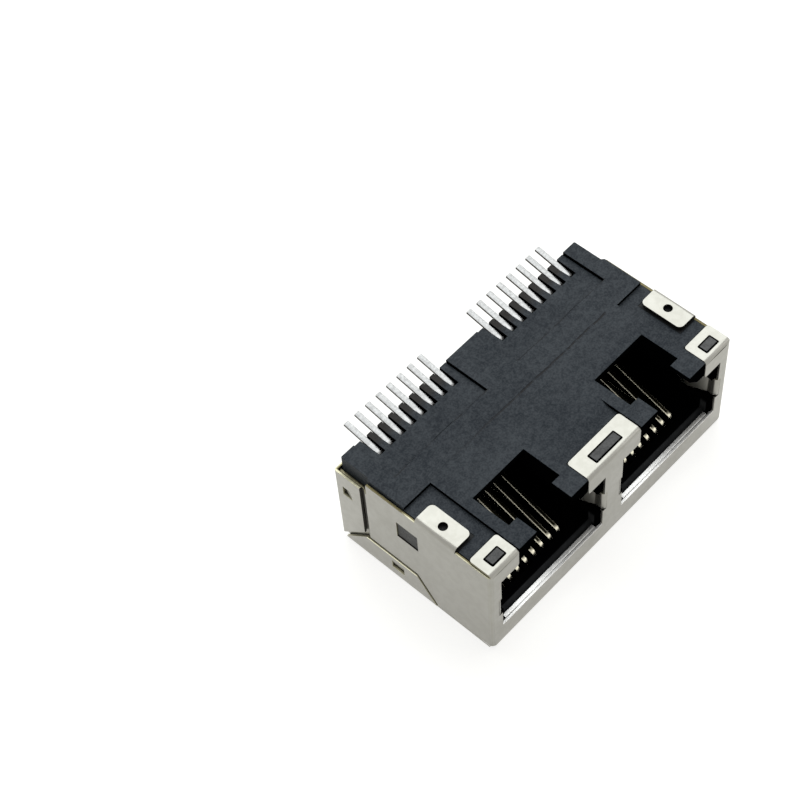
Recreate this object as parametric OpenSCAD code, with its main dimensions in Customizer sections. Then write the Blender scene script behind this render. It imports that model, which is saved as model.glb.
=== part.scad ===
// Shielded jack for two eight-way modular plugs, for mounting on the surface of a circuit board.
// It lies on the top plate of its shield, with the side that meets the board facing up.
// X runs across both ports, Y from the front plate to the solder leads, Z from the top plate to the board.

/* [Shield] */
// Width over the side walls
shell_w = 30.4; // [30.2:0.1:33]
// Depth from the front plate to the rear wall
shell_d = 17; // [16.8:0.1:19]
// Height from the top plate to the board
jack_h = 12; // [11.8:0.1:13.5]
// Thickness of the shield's sheet
sheet_t = 0.25; // [0.2:0.01:0.28]
// Outside radius of the sheet's bends
bend_r = 0.4; // [0.35:0.01:0.45]
// How far the flaps stand out from the side walls
flap_proud = 0.08; // [0.05:0.01:0.1]
// Height of the flaps on the top plate's sides
flap_h = 3; // [2.6:0.1:3.4]
// Length of the flaps on the rear wall's ends
rear_flap_l = 2.9; // [2.4:0.1:3.2]
// Gap round each flap
flap_gap = 0.2; // [0.15:0.01:0.25]
// Side wall's edge below the board
wall_drop = 0.5; // [0.45:0.01:0.6]
// Rear wall's edge below the board
rear_drop = 1.65; // [1.5:0.05:2]
// Width of the windows in the side walls
side_window_l = 2.3; // [1.8:0.1:2.8]
// Height of the windows in the side walls
side_window_h = 2.1; // [1.6:0.1:2.4]
// Width of each pressed groove in the rear wall
groove_w = 0.95; // [0.6:0.05:1.1]
// Depth of each pressed groove in the rear wall
groove_deep = 0.1; // [0.08:0.01:0.15]

/* [Tabs] */
// Length of the front tabs, back from the front plate
front_tab_l = 2.4; // [2.2:0.1:2.8]
// Front tabs' outer face below the board
front_tab_drop = 0.15; // [0.1:0.01:0.2]
// Width of the windows in the outer front tabs
outer_window_w = 1.65; // [1.2:0.05:1.8]
// Width of the window in the middle front tab
middle_window_w = 3.3; // [2.6:0.1:3.6]
// Length of the windows in the front tabs
window_l = 1.05; // [0.8:0.05:1.1]
// Length of the solder tabs along the side walls
solder_tab_l = 4.3; // [3.6:0.1:4.8]
// Width of the solder tabs, in from the side walls
solder_tab_w = 2.1; // [1.8:0.1:2.4]
// Diameter of the solder tabs' holes
tab_hole_d = 0.8; // [0.6:0.05:1]

/* [Ports] */
// How far the middle of each port lies in from the middle of its half of the shell
port_inset = 0.05; // [0:0.01:0.1]
// Width of the plug's cavity
cavity_w = 11.8; // [11.7:0.02:11.9]
// Height of the plug's cavity
cavity_h = 6.95; // [6.8:0.05:7]
// Depth of the plug's cavity from the front plate
cavity_d = 12; // [11.8:0.05:12.4]
// Height of the strip under the ports in the front plate
sill_h = 2.6; // [2.5:0.05:2.8]
// Gap beside the plug's cavity in the openings of the front plate
opening_gap = 0.52; // [0.4:0.02:0.55]
// Width of the gap between the front tabs, at each port
notch_w = 8.55; // [8.3:0.05:8.8]
// Width of the channel for the plug's latch
latch_w = 6.15; // [6:0.05:6.3]
// Width of the slot between the two latch catches
catch_gap = 4.2; // [4.1:0.05:4.4]
// Length of the latch catches, back from the front
catch_l = 2.1; // [1.9:0.05:2.3]
// Length of the window over the latch, behind the catches
latch_window_l = 3.8; // [3.4:0.1:4.2]
// Height of each earthing finger
finger_h = 2.25; // [1.8:0.05:2.4]
// How far the earthing fingers reach into the plug's cavity
finger_reach = 0.2; // [0.1:0.02:0.3]

/* [Contacts] */
// Distance between neighbouring contacts in a port
contact_pitch = 1.02; // [1:0.01:1.04]
// Width of a contact's spring
contact_w = 0.4; // [0.35:0.01:0.45]
// Thickness of the contacts' strip
contact_t = 0.25; // [0.2:0.01:0.28]
// Rise of the springs in degrees
spring_rise = 20.2; // [18:0.1:21]
// Distance between neighbouring solder leads
lead_pitch = 1.27; // [1.25:0.01:1.29]
// Width of a solder lead
lead_w = 0.52; // [0.45:0.01:0.54]
// Length of the leads beyond the rear wall
lead_out = 1.6; // [1.4:0.05:2]
// Slope of the leads towards the board in degrees
lead_slope = 12; // [8:1:13]

/* [Hidden] */
$fn = 48;

// Clearances
shell_fit = 0.05;    // moulded housing inside the shield
carrier_fit = 0.05;  // carriers in the housing's rear pockets
embed_fit = 0.02;    // contacts in the carriers' channels
stud_fit = 0.06;     // studs in the shield's windows
slot_fit = 0.09;     // springs in the comb's slots, on each side
lead_fit = 0.04;     // roots of the leads in the carriers' slots, on each side
cut = 0.5;           // how far a cutting solid runs past a face
lap = 0.01;          // how far joined shapes run into each other

// Places that follow from the driving sizes
contacts = 8;
total_d = shell_d + lead_out;
half_w = shell_w / 2;
flap_x = half_w + flap_proud;
inner_x = half_w - sheet_t;
flat_x = half_w - bend_r;
pressed_gap = 0.08;
pressed_fit = 0.03;
pressed_x = flap_x - sheet_t - pressed_gap;
port_pitch = half_w - 2 * port_inset;
opening_w = cavity_w + 2 * opening_gap;
front_tab_z = jack_h - front_tab_drop;
ceiling_z = sill_h + cavity_h;
rear_z = jack_h - rear_drop;
wall_z = jack_h - wall_drop;
tab_leg = 2;

// Side walls: they step in at their rear end to pass behind the rear flaps
wall_end_inset = 3.45;
wall_end = shell_d - wall_end_inset;
wall_corner_r = 0.25;
relief_l = 0.12;
relief_h = 0.3;
joggle_l = 0.4;
joggle_lap = 0.2;
pressed_end_gap = 0.1;
pressed_end_d = shell_d - sheet_t - pressed_end_gap;
pressed_end_drop = 0.2;
pressed_end_z = rear_z - pressed_end_drop;

// Flaps: the top plate's lean back from the front, the rear wall's end short of the top plate
top_flap_front = 6.02;
top_flap_lean = 0.754;
top_flap_inset = 0.5;
top_flap_rear = shell_d - top_flap_inset;
top_flap_corner_z = 0.4;
top_edge_inset = 1;
top_edge_end = shell_d - top_edge_inset;
rear_flap_low_z = 0.7;
rear_flap_toe = 0.2;
rear_flap_step = 0.5;
rear_flap_corner_z = flap_h + rear_flap_step;
rear_bend_inner_r = 0.05;
rear_bend_r = sheet_t + rear_bend_inner_r;

// Lances that lean in from the flaps: two corners of each, lean at the free end, slit and room behind
top_lance_inset = [7.25, 5.9];
top_lance_z = [1.25, 2.3];
rear_lance_inset = [1.9, 0.85];
rear_lance_z = [7.45, 8.6];
top_lance = [for (i = [0, 1]) [shell_d - top_lance_inset[i], top_lance_z[i]]];
rear_lance = [for (i = [0, 1]) [shell_d - rear_lance_inset[i], rear_lance_z[i]]];
lance_lean = 0.3;
lance_slit = 0.06;
lance_room = 0.1;

// Tabs
tab_corner_r = 0.3;
solder_corner_r = 0.5;
solder_tab_mid = 5.9;
window_mid_d = 1.1;
notch_low_x = port_pitch / 2 - notch_w / 2;
notch_high_x = port_pitch / 2 + notch_w / 2;
outer_tab_inset = 0.12;
outer_tab_x = half_w - outer_tab_inset;
outer_tab_mid = (notch_high_x + outer_tab_x) / 2;
window_corner_r = 0.12;

// Other shield openings
side_window_mid = 9.05;
side_window_z = 8.25;
lintel_rise = 0.13;
lintel_z = ceiling_z + lintel_rise;
foot_inset = 0.12;
groove_inset = 3.8;
groove_x = half_w - groove_inset;
groove_ramp = 0.5;
groove_lap = 0.15;
groove_z = [4.05, 8.2];
corner_slit_start = 1.1;
corner_slit_inset = 2.35;
corner_slit_x = [corner_slit_start, half_w - corner_slit_inset];
corner_slit_d = 0.42;
corner_slit_rise = 0.05;
corner_slit_z = bend_r + corner_slit_rise;
lip_inset = 0.2;
lip_w = cavity_w - 2 * lip_inset;
lip_l = 0.65;

// Earthing fingers
finger_z = 5.85;
finger_slit = 0.1;
finger_root_gap = 0.3;
finger_root = opening_w / 2 + finger_root_gap;
finger_lean = 21;
finger_flank_d = 0.8;
finger_bend_r = 0.6;
finger_crest_r = 1.2;
finger_end = [0.45, 1.9];
finger_room = 0.35;
finger_room_d = 5;

// Housing
block_drop = 0.1;
block_z = jack_h - block_drop;
housing_edge = bend_r - sheet_t;
housing_rear_edge = 0.08;
recess_z = front_tab_z - sheet_t - shell_fit;
recess_gap = 0.08;
recess_d = 9.42;
middle_recess_d = [3.4, 4.3];
floor_z = sheet_t + shell_fit;
housing_x = inner_x - shell_fit;
housing_narrow_x = pressed_x - sheet_t - pressed_fit;
housing_wide_rise = 0.7;
housing_wide_z = flap_h + housing_wide_rise;
housing_wide_lap = 0.05;
housing_wide_end = wall_end + housing_wide_lap;
housing_front = sheet_t + shell_fit;
housing_rear = shell_d - sheet_t - groove_deep - shell_fit;
stud_step = 0.1;

// Ports
sill_edge = [1.1, 1.9];
latch_wall_front = 0.05;
latch_wall_rise = 0.6;
latch_wall_z = ceiling_z + latch_wall_rise;
latch_window_d = catch_l + latch_window_l;
latch_channel_d = 9.5;
latch_skin = 0.75;
catch_edge = 1.8;
sill_d = 2;
comb_d = 5;

// Contact path, seen from the side
turn_r = 0.55;
leg_z = 1.4;
turn_d = 3.05;
turn_mid = [turn_d, leg_z + turn_r];
spring_end_gap = 0.3;
spring_end_d = cavity_d - spring_end_gap;
riser_inset = 2.42;
riser_d = shell_d - riser_inset;
riser_turn_r = 0.5;
riser_shift_z = [3.5, 8.5];
lead_turn_r = 0.6;
joint_l = 0.6;
row_margin = 0.5;
row_w = contacts * contact_pitch + 2 * row_margin;

// Carriers
carrier_inset = 0.35;
carrier_w = cavity_w - 2 * carrier_inset;
carrier_proud = 0.02;
carrier_rear = housing_rear + carrier_proud;
carrier_drop = 0.3;
carrier_z = block_z - carrier_drop;
tongue_z = leg_z - contact_t / 2;
slot_w = contact_w + 2 * slot_fit;
comb_l = 0.75;
comb_rise = 0.5;
lead_slot_h = 1.4;
lead_slot_room = 0.15;
lead_slot_d = riser_d - lead_slot_room;
lead_slot_flare = 0.1;

function port_x(port) = (port == 1 ? -1 : 1) * port_pitch / 2;
function contact_x(k) = (k - (contacts + 1) / 2) * contact_pitch;
function lead_x(k) = (k - (contacts + 1) / 2) * lead_pitch;

// Points on an arc about a middle, from one angle to another
function arc(mid, r, from, to, steps) =
    [for (i = [0:steps]) let (a = from + (to - from) * i / steps) mid + r * [cos(a), sin(a)]];

// Unit vector square to a path at point i
function side_of(path, i) =
    let (a = path[max(i - 1, 0)], b = path[min(i + 1, len(path) - 1)], v = b - a)
    [-v[1], v[0]] / norm(v);

// Outline of a strip of even thickness that follows a path
function strip(path, t) = concat(
    [for (i = [0:len(path) - 1]) path[i] + side_of(path, i) * t / 2],
    [for (i = [len(path) - 1:-1:0]) path[i] - side_of(path, i) * t / 2]);

// Solids from flat profiles: (y, z) along X, (x, z) along Y and (x, y) along Z
module along_x(from, to) translate([from, 0, 0]) rotate([90, 0, 90]) linear_extrude(to - from) children();
module along_y(from, to) translate([0, to, 0]) rotate([90, 0, 0]) linear_extrude(to - from) children();
module along_z(from, to) translate([0, 0, from]) linear_extrude(to - from) children();

module both_sides() {
    children();
    mirror([1, 0, 0]) children();
}

module both_ports() for (port = [1, 2]) translate([port_x(port), 0, 0]) children();

// Box between two corners
module box(low, high) translate(low) cube(high - low);

// Rectangle from the origin with its corner at the origin rounded
module round_corner(size, r) difference() {
    square(size);
    difference() {
        square(r);
        translate([r, r]) circle(r);
    }
}

// Sheet bent once: its outer corner is at the origin and its legs run along both axes
module bent_sheet(size, r = bend_r) difference() {
    round_corner(size, r);
    translate([sheet_t, sheet_t]) round_corner(size, r - sheet_t);
}

// Sheet bent twice: a base of width w, centred, with a leg up at each end
module channel(w, leg, r = bend_r) both_halves() translate([-w / 2, 0]) bent_sheet([w / 2, leg], r);

module both_halves() {
    children();
    mirror([1, 0]) children();
}

// Shield
// Front and rear edges of a top flap at height z, moved out by g
function top_flap_low(z, g) = top_flap_front + top_flap_lean * z - g * norm([1, top_flap_lean]);
function top_flap_high(z, g) = top_flap_rear - (z - top_flap_corner_z) + g * norm([1, 1]);

// Outline of a top flap seen from the side, grown by g
module top_flap_outline(g) polygon([
    [top_flap_low(-cut, g), -cut],
    [top_flap_low(flap_h + g, g), flap_h + g],
    [top_flap_high(flap_h + g, g), flap_h + g],
    [top_flap_high(top_flap_corner_z, g), top_flap_corner_z],
    [top_flap_high(top_flap_corner_z, g), -cut]]);

// Outline of a rear flap seen from the side
module rear_flap_outline() polygon([
    [shell_d - rear_flap_l, rear_z],
    [shell_d + cut, rear_z],
    [shell_d + cut, rear_flap_low_z],
    [shell_d - rear_flap_toe, rear_flap_low_z],
    [shell_d - rear_flap_l, rear_flap_corner_z]]);

module front_and_sides() difference() {
    along_z(bend_r, wall_z) intersection() {
        channel(shell_w, shell_d);
        translate([-half_w, 0]) square([shell_w, wall_end]);
    }
    both_sides() along_x(half_w / 2, half_w + cut) {
        top_flap_outline(flap_gap);
        // Round upper corner and relief slit at the rear end of the wall
        translate([wall_end - wall_corner_r, wall_z - wall_corner_r]) difference() {
            square(cut);
            circle(wall_corner_r);
        }
        translate([wall_end - relief_l, rear_z - relief_h]) square([cut, rear_z]);
    }
}

// Side wall where it is pressed in to pass behind the flaps
module pressed_wall() both_sides() {
    along_x(pressed_x - sheet_t, pressed_x) difference() {
        intersection() {
            union() {
                top_flap_outline(flap_gap + sheet_t);
                translate([wall_end + joggle_l, 0]) square(shell_d);
            }
            translate([bend_r, bend_r]) square([pressed_end_d - bend_r, pressed_end_z - bend_r]);
        }
        for (lance = [top_lance, rear_lance]) lance_outline(lance, lance_room);
    }
    along_z(flap_h + flap_gap, pressed_end_z) joggle_outline();
}

// Section through the step between the wall's two levels, seen from above
module joggle_outline() polygon([
    [half_w, wall_end - joggle_lap],
    [half_w, wall_end],
    [pressed_x, wall_end + joggle_l],
    [pressed_x, wall_end + joggle_l + joggle_lap],
    [pressed_x - sheet_t, wall_end + joggle_l + joggle_lap],
    [pressed_x - sheet_t, wall_end + joggle_l],
    [inner_x, wall_end],
    [inner_x, wall_end - joggle_lap]]);

// Outline of a lance seen from the side, grown by g
module lance_outline(lance, g)
    translate(lance[0] - [g, g]) square(lance[1] - lance[0] + 2 * [g, g]);

module top_and_ends() intersection() {
    along_x(-flat_x, flat_x) translate([shell_d / 2, 0]) channel(shell_d, rear_z);
    box([-half_w, -cut, -cut], [half_w, shell_d + cut, rear_z]);
}

// Edges of the top plate, out to the bends of its flaps
module top_edge() both_sides()
    box([flat_x - cut, bend_r, 0], [flap_x - sheet_t / 2, top_edge_end, sheet_t]);

module top_flaps() intersection() {
    along_y(0, top_flap_rear) channel(2 * flap_x, flap_h + cut);
    along_x(-flap_x, flap_x) top_flap_outline(0);
}

module rear_flaps() intersection() {
    along_z(rear_flap_low_z, rear_z)
        translate([0, shell_d]) mirror([0, 1]) channel(2 * flap_x, rear_flap_l + cut, rear_bend_r);
    along_x(-flap_x, flap_x) rear_flap_outline();
}

// Tabs bent back from the front plate, with round rear corners
module front_tab(low_x, high_x) intersection() {
    along_x(low_x, high_x) translate([0, front_tab_z]) mirror([0, 1]) bent_sheet([front_tab_l, tab_leg]);
    along_z(0, jack_h) both_halves() translate([-half_w, 0]) round_corner([half_w, shell_d], bend_r);
    along_z(0, jack_h) {
        translate([low_x, 0]) square([high_x - low_x, front_tab_l - tab_corner_r]);
        translate([low_x + tab_corner_r, 0]) square([high_x - low_x - 2 * tab_corner_r, front_tab_l]);
        for (x = [low_x + tab_corner_r, high_x - tab_corner_r])
            translate([x, front_tab_l - tab_corner_r]) circle(tab_corner_r);
    }
}

module solder_tab() difference() {
    intersection() {
        along_y(solder_tab_mid - solder_tab_l / 2, solder_tab_mid + solder_tab_l / 2)
            translate([half_w, jack_h]) mirror([1, 0]) mirror([0, 1]) bent_sheet([solder_tab_w, tab_leg]);
        along_z(0, jack_h) solder_tab_outline();
    }
    translate([half_w - solder_tab_w / 2, solder_tab_mid, 0]) cylinder(d = tab_hole_d, h = jack_h + cut);
}

// Solder tab seen from above, with round inner corners
module solder_tab_outline() {
    r = solder_corner_r;
    in_x = half_w - solder_tab_w;
    low_d = solder_tab_mid - solder_tab_l / 2;
    translate([in_x, low_d + r]) square([solder_tab_w, solder_tab_l - 2 * r]);
    translate([in_x + r, low_d]) square([solder_tab_w - r, solder_tab_l]);
    for (d = [low_d + r, low_d + solder_tab_l - r]) translate([in_x + r, d]) circle(r);
}

// Port opening, the notch between the front tabs and the slits round the fingers, seen from the front
module opening_outline() {
    foot_z = finger_z - finger_h / 2 - finger_slit;
    foot_w = opening_w - 2 * foot_inset;
    translate([-opening_w / 2, foot_z]) square([opening_w, lintel_z - foot_z]);
    translate([-foot_w / 2, sill_h]) square([foot_w, foot_z - sill_h + lap]);
    translate([-notch_w / 2, lintel_z - lap]) square([notch_w, jack_h]);
    translate([-finger_root, foot_z]) square([2 * finger_root, finger_h + 2 * finger_slit]);
    // Round corners of the tabs where the notch meets the opening
    both_halves() translate([notch_w / 2, lintel_z]) difference() {
        translate([-lap, -lap]) square(tab_corner_r + lap);
        translate([tab_corner_r, tab_corner_r]) circle(tab_corner_r);
    }
}

// Lip turned in along the lower edge of an opening
module opening_lip() along_x(-lip_w / 2, lip_w / 2)
    translate([0, sill_h]) mirror([0, 1]) bent_sheet([lip_l, tab_leg / 2]);

// Earthing finger beside a port: it turns in from the front plate, bows towards the plug and back
module finger() {
    flank = finger_root - sheet_t;
    crest = cavity_w / 2 - finger_reach + sheet_t / 2;
    lean = [cos(finger_lean), sin(finger_lean)];
    bends_in = (finger_bend_r + finger_crest_r) * (1 - lean[0]);
    slope_l = (flank - crest - bends_in) / lean[1];
    knee = [flank - finger_bend_r, finger_flank_d];
    slope_end = knee + finger_bend_r * lean + slope_l * [-lean[1], lean[0]];
    path = concat(
        [[finger_root + sheet_t, sheet_t / 2]],
        arc([finger_root, sheet_t * 3 / 2], sheet_t, 270, 180, 6),
        arc(knee, finger_bend_r, 0, finger_lean, 2),
        arc(slope_end + finger_crest_r * lean, finger_crest_r, 180 + finger_lean, 180 - finger_lean, 6),
        [[crest, slope_end[1]] + finger_end]);
    along_z(finger_z - finger_h / 2, finger_z + finger_h / 2) polygon(strip(path, sheet_t));
}

// Section through a lance: a strip from its root at 0 to its free end, leaning in
module lance_section(l) polygon([
    [flap_x, 0],
    [flap_x - sheet_t, 0],
    [flap_x - sheet_t - lance_lean, l - lance_slit],
    [flap_x - lance_lean, l - lance_slit]]);

// The top flap's lance has its root above, the rear flap's has its root in front
module lances() both_sides() {
    along_y(top_lance[0][0] + lance_slit, top_lance[1][0] - lance_slit)
        translate([0, top_lance[1][1]]) mirror([0, 1]) lance_section(top_lance[1][1] - top_lance[0][1]);
    along_z(rear_lance[0][1] + lance_slit, rear_lance[1][1] - lance_slit)
        translate([0, rear_lance[0][0]]) lance_section(rear_lance[1][0] - rear_lance[0][0]);
}

module shield() color([0.78, 0.77, 0.74]) difference() {
    union() {
        difference() {
            union() {
                front_and_sides();
                top_and_ends();
                both_sides() front_tab(notch_high_x, outer_tab_x);
                front_tab(-notch_low_x, notch_low_x);
            }
            both_ports() along_y(-cut, sheet_t + bend_r) opening_outline();
        }
        pressed_wall();
        top_edge();
        difference() {
            union() {
                top_flaps();
                rear_flaps();
            }
            both_sides() along_x(flap_x - sheet_t - lap, flap_x + cut)
                for (lance = [top_lance, rear_lance]) lance_outline(lance, 0);
        }
        lances();
        grooves(shell_d - sheet_t, groove_w + 2 * groove_lap);
        both_sides() solder_tab();
        both_ports() opening_lip();
        both_ports() both_sides() finger();
    }
    shield_windows();
}

// Long grooves pressed in across the rear wall, from the face at face_d
module grooves(face_d, w) for (z = groove_z) along_z(z - w / 2, z + w / 2) polygon([
    [-groove_x - groove_ramp, face_d],
    [-groove_x, face_d - groove_deep],
    [groove_x, face_d - groove_deep],
    [groove_x + groove_ramp, face_d],
    [groove_x + groove_ramp, face_d + lap],
    [-groove_x - groove_ramp, face_d + lap]]);

// Window or stud in a front tab, with round corners and a gap all round
module tab_window(mid_x, w, gap, top_z) {
    size = [w - 2 * gap, window_l - 2 * gap];
    r = window_corner_r - gap / 2;
    translate([mid_x, window_mid_d]) along_z(recess_z - cut, top_z) {
        translate([-size[0] / 2 + r, -size[1] / 2]) square([size[0] - 2 * r, size[1]]);
        translate([-size[0] / 2, -size[1] / 2 + r]) square([size[0], size[1] - 2 * r]);
        for (i = [-1, 1], j = [-1, 1]) translate([i * (size[0] / 2 - r), j * (size[1] / 2 - r)]) circle(r);
    }
}

// Window or stud in a side wall, with a gap all round
module side_window(low_x, high_x, gap)
    box([low_x, side_window_mid - side_window_l / 2 + gap, side_window_z - side_window_h / 2 + gap],
        [high_x, side_window_mid + side_window_l / 2 - gap, side_window_z + side_window_h / 2 - gap]);

module shield_windows() {
    grooves(shell_d, groove_w);
    both_sides() {
        tab_window(outer_tab_mid, outer_window_w, 0, jack_h);
        side_window(inner_x - lap, half_w + cut, 0);
        // Slits in the bend between the top plate and the rear wall
        box([corner_slit_x[0], shell_d - corner_slit_d, -cut],
            [corner_slit_x[1], shell_d + cut, corner_slit_z]);
    }
    tab_window(0, middle_window_w, 0, jack_h);
}

// Housing
module housing() color([0.2, 0.21, 0.23]) difference() {
    union() {
        housing_block();
        side_studs();
    }
    board_side_recesses();
    both_ports() {
        plug_cavity();
        contact_bay();
        latch_channel();
        carrier_pocket();
        both_sides() finger_pocket();
    }
}

// Rectangle between two corners, with its lower corners cut off by e and its upper ones by far_e
module eased(low, high, e, far_e) polygon([
    [low[0] + e, low[1]],
    [high[0] - e, low[1]],
    [high[0], low[1] + e],
    [high[0], high[1] - far_e],
    [high[0] - far_e, high[1]],
    [low[0] + far_e, high[1]],
    [low[0], high[1] - far_e],
    [low[0], low[1] + e]]);

// Block with its edges eased where they meet the inside of the shield's bends
module housing_block() {
    e = housing_edge;
    intersection() {
        along_z(floor_z, block_z) eased(
            [-housing_narrow_x, housing_front], [housing_narrow_x, housing_rear], e, housing_rear_edge);
        along_x(-housing_x, housing_x) eased([housing_front, floor_z], [housing_rear, jack_h], e, e);
    }
    along_z(housing_wide_z, block_z) eased(
        [-housing_x, housing_front], [housing_x, housing_wide_end], e, housing_x - housing_narrow_x);
    // Fronts of the latch walls, in the notches of the front plate
    both_ports() box([-notch_w / 2 + shell_fit, latch_wall_front, latch_wall_z],
        [notch_w / 2 - shell_fit, housing_front + cut, block_z]);
}

// Studs that fill the windows of the side walls
module side_studs() both_sides() side_window(housing_x - cut, half_w - stud_step, stud_fit);

// Recess in the board side, seen from the side, with its front edge eased and its rear end sloping
module recess_outline(low_d, high_d) polygon([
    [-cut, recess_z - housing_edge],
    [housing_front, recess_z - housing_edge],
    [housing_front + housing_edge, recess_z],
    [low_d, recess_z],
    [high_d, block_z],
    [high_d, jack_h],
    [-cut, jack_h]]);

// Lower areas of the board side, under the solder tabs and the front tabs, around the studs in the tabs
module board_side_recesses() difference() {
    union() {
        both_sides() along_x(notch_high_x - recess_gap, half_w + cut) recess_outline(recess_d, recess_d);
        along_x(-notch_low_x - recess_gap, notch_low_x + recess_gap)
            recess_outline(middle_recess_d[0], middle_recess_d[1]);
    }
    both_sides() tab_window(outer_tab_mid, outer_window_w, stud_fit, front_tab_z - stud_fit);
    tab_window(0, middle_window_w, stud_fit, front_tab_z - stud_fit);
}

module plug_cavity() {
    box([-cavity_w / 2, -cut, sill_h], [cavity_w / 2, cavity_d + cut, ceiling_z]);
    // Sloping edge of the sill
    along_x(-cavity_w / 2, cavity_w / 2) polygon([
        [-cut, sill_edge[1]],
        [housing_front, sill_edge[1]],
        [sill_edge[0], sill_h + lap],
        [-cut, sill_h + lap]]);
}

// Room for an earthing finger beside the plug's cavity
module finger_pocket()
    box([cavity_w / 2 - lap, 0, finger_z - finger_h / 2 - finger_room],
        [finger_root + finger_slit, finger_room_d, finger_z + finger_h / 2 + finger_room]);

// Space for the springs under the plug, with a comb of slots at its front
module contact_bay() {
    box([-row_w / 2, comb_d, tongue_z], [row_w / 2, cavity_d + cut, sill_h + cut]);
    for (k = [1:contacts]) translate([contact_x(k), 0, 0])
        box([-slot_w / 2, sill_d, 0], [slot_w / 2, comb_d + cut, sill_h + cut]);
    box([-row_w / 2, turn_mid[0], 0], [row_w / 2, cavity_d + cut, tongue_z + embed_fit]);
}

module latch_channel() {
    box([-latch_w / 2, catch_l, ceiling_z - cut], [latch_w / 2, latch_channel_d, block_z - latch_skin]);
    box([-latch_w / 2, catch_l, ceiling_z - cut], [latch_w / 2, latch_window_d, jack_h]);
    // Mouth between the two catches, wider towards the plug
    along_y(-cut, catch_l + cut) both_halves() polygon([
        [-lap, ceiling_z - cut],
        [catch_gap / 2 + catch_edge, ceiling_z - cut],
        [catch_gap / 2 + catch_edge, ceiling_z],
        [catch_gap / 2, ceiling_z + catch_edge],
        [catch_gap / 2, jack_h],
        [-lap, jack_h]]);
}

module carrier_pocket() box([-carrier_w / 2 - carrier_fit, cavity_d, 0],
    [carrier_w / 2 + carrier_fit, shell_d, jack_h]);

// Carriers
module carrier(port) color([0.15, 0.16, 0.18]) translate([port_x(port), 0, 0]) difference() {
    union() {
        box([-carrier_w / 2, cavity_d, floor_z], [carrier_w / 2, carrier_rear, carrier_z]);
        // Tongue that carries the contacts along the floor of the port
        box([-row_w / 2 + carrier_fit, turn_mid[0] + carrier_fit, floor_z],
            [row_w / 2 - carrier_fit, cavity_d + cut, tongue_z]);
        for (k = [0:contacts]) translate([contact_x(k) + contact_pitch / 2, 0, 0]) comb_tooth();
    }
    for (k = [1:contacts]) {
        along_z(carrier_z - lead_slot_h, jack_h) translate([lead_x(k), 0]) lead_slot_outline();
        contact_solid(k, embed_fit);
    }
}

// Tooth between the free ends of two springs
module comb_tooth() box([-(contact_pitch - slot_w) / 2, cavity_d - comb_l, tongue_z],
    [(contact_pitch - slot_w) / 2, cavity_d + cut, spring_end_z() + comb_rise]);

// Open slot round the root of a lead, wider towards the rear
module lead_slot_outline() both_halves() polygon([
    [-lap, lead_slot_d],
    [lead_w / 2 + lead_fit, lead_slot_d],
    [lead_w / 2 + lead_fit + lead_slot_flare, shell_d],
    [-lap, shell_d]]);

// Contacts
// Spring, front turn, leg along the floor and the turn up into the carrier, seen from the side
function spring_path() = concat(
    [[spring_end_d, spring_end_z()]],
    arc(turn_mid, turn_r, 90 + spring_rise, 270, 16),
    arc([riser_d - riser_turn_r, leg_z + riser_turn_r], riser_turn_r, 270, 360, 7),
    [[riser_d, leg_z + riser_turn_r + joint_l]]);

function spring_start() = turn_mid + turn_r * [-sin(spring_rise), cos(spring_rise)];
function spring_end_z() = spring_start()[1] + (spring_end_d - spring_start()[0]) * tan(spring_rise);

// Solder lead, from its turn in the carrier up to its toe at the board, seen from the side
function lead_toe() = [total_d - contact_t / 2 * sin(lead_slope), jack_h - contact_t / 2 * cos(lead_slope)];
function lead_turn_mid() =
    let (d = riser_d + lead_turn_r, l = lead_toe()[0] - (d - lead_turn_r * sin(lead_slope)))
    [d, lead_toe()[1] - l * tan(lead_slope) - lead_turn_r * cos(lead_slope)];
function lead_path() = concat(
    [[riser_d, lead_turn_mid()[1] - joint_l]],
    arc(lead_turn_mid(), lead_turn_r, 180, 90 + lead_slope, 7),
    [lead_toe()]);

// One contact, centred on its port; grow widens it on every side for its channel
module contact_solid(k, grow) {
    t = contact_t + 2 * grow;
    spring_w = contact_w + 2 * grow;
    foot_w = lead_w + 2 * grow;
    along_x(contact_x(k) - spring_w / 2, contact_x(k) + spring_w / 2) polygon(strip(spring_path(), t));
    along_x(lead_x(k) - foot_w / 2, lead_x(k) + foot_w / 2) polygon(strip(lead_path(), t));
    along_y(riser_d - t / 2, riser_d + t / 2) riser_outline(k, spring_w, foot_w);
}

// Riser from the contact's place in the row to the lead's place, seen from the rear
module riser_outline(k, low_w, high_w) polygon([
    [contact_x(k) - low_w / 2, leg_z + riser_turn_r],
    [contact_x(k) + low_w / 2, leg_z + riser_turn_r],
    [contact_x(k) + low_w / 2, riser_shift_z[0]],
    [lead_x(k) + high_w / 2, riser_shift_z[1]],
    [lead_x(k) + high_w / 2, lead_turn_mid()[1]],
    [lead_x(k) - high_w / 2, lead_turn_mid()[1]],
    [lead_x(k) - high_w / 2, riser_shift_z[1]],
    [contact_x(k) - low_w / 2, riser_shift_z[0]]]);

module contact(port, k) color([0.86, 0.74, 0.48]) translate([port_x(port), 0, 0]) contact_solid(k, 0);

// Puts the origin in the middle of the whole depth, leads included
module placed() translate([0, -total_d / 2, 0]) children();

placed() shield();
placed() housing();
placed() carrier(1);  // port_1_carrier
placed() carrier(2);  // port_2_carrier
for (port = [1, 2], k = [1:contacts])
    placed() contact(port, k);
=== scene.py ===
"""Looks of a shielded two-port board jack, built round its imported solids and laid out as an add-on.

Each operator makes one group of pieces. main() calls them in order.
Lengths in the property groups are metres, and angles radians. Places on the jack, in capitals, are in
millimetres. A pair of them is a range, or the band over which a mark comes or goes.
"""

import math
from functools import reduce

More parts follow.
